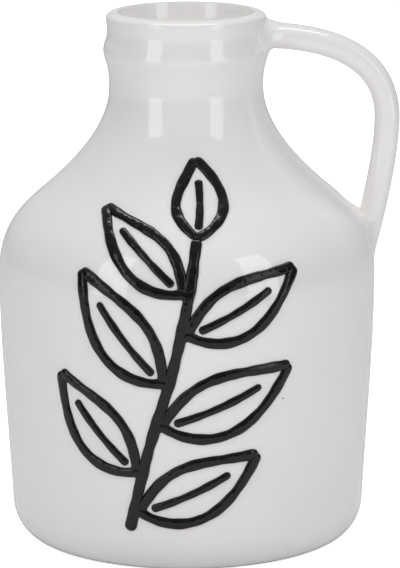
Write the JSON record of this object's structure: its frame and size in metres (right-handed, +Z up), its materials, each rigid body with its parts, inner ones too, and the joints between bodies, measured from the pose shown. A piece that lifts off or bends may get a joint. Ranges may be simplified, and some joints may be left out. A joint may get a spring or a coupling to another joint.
{
  "type": "jug vase",
  "caption": "White glazed stoneware jug vase with a round body, a beaded neck, a loop handle and a raised black leaf sprig on its front.",
  "frame": {"origin": "middle of the foot, on the vessel's axis, at the height of the surface it stands on", "axes": "+Z up along the vessel's axis, +X towards the handle, -Y towards the front with the sprig"},
  "size_m": [0.1548, 0.1468, 0.205],
  "materials": {
    "white_glaze": "gloss off-white glaze over cast stoneware",
    "black_glaze": "gloss black glaze, trailed in raised lines"
  },
  "bodies": {
    "root": {"vessel_body": "white_glaze", "handle": "white_glaze", "upper_slip_joint": "white_glaze", "lower_slip_joint": "white_glaze", "stem_line": "black_glaze", "leaf_1_lower_edge": "black_glaze", "leaf_1_upper_edge": "black_glaze", "leaf_1_vein": "black_glaze", "leaf_2_lower_edge": "black_glaze", "leaf_2_upper_edge": "black_glaze", "leaf_2_vein": "black_glaze", "leaf_3_lower_edge": "black_glaze", "leaf_3_upper_edge": "black_glaze", "leaf_3_vein": "black_glaze", "leaf_4_lower_edge": "black_glaze", "leaf_4_upper_edge": "black_glaze", "leaf_4_vein": "black_glaze", "leaf_5_lower_edge": "black_glaze", "leaf_5_upper_edge": "black_glaze", "leaf_5_vein": "black_glaze", "leaf_6_lower_edge": "black_glaze", "leaf_6_upper_edge": "black_glaze", "leaf_6_vein": "black_glaze", "leaf_7_lower_edge": "black_glaze", "leaf_7_upper_edge": "black_glaze", "leaf_7_vein": "black_glaze"}
  },
  "joints": []
}
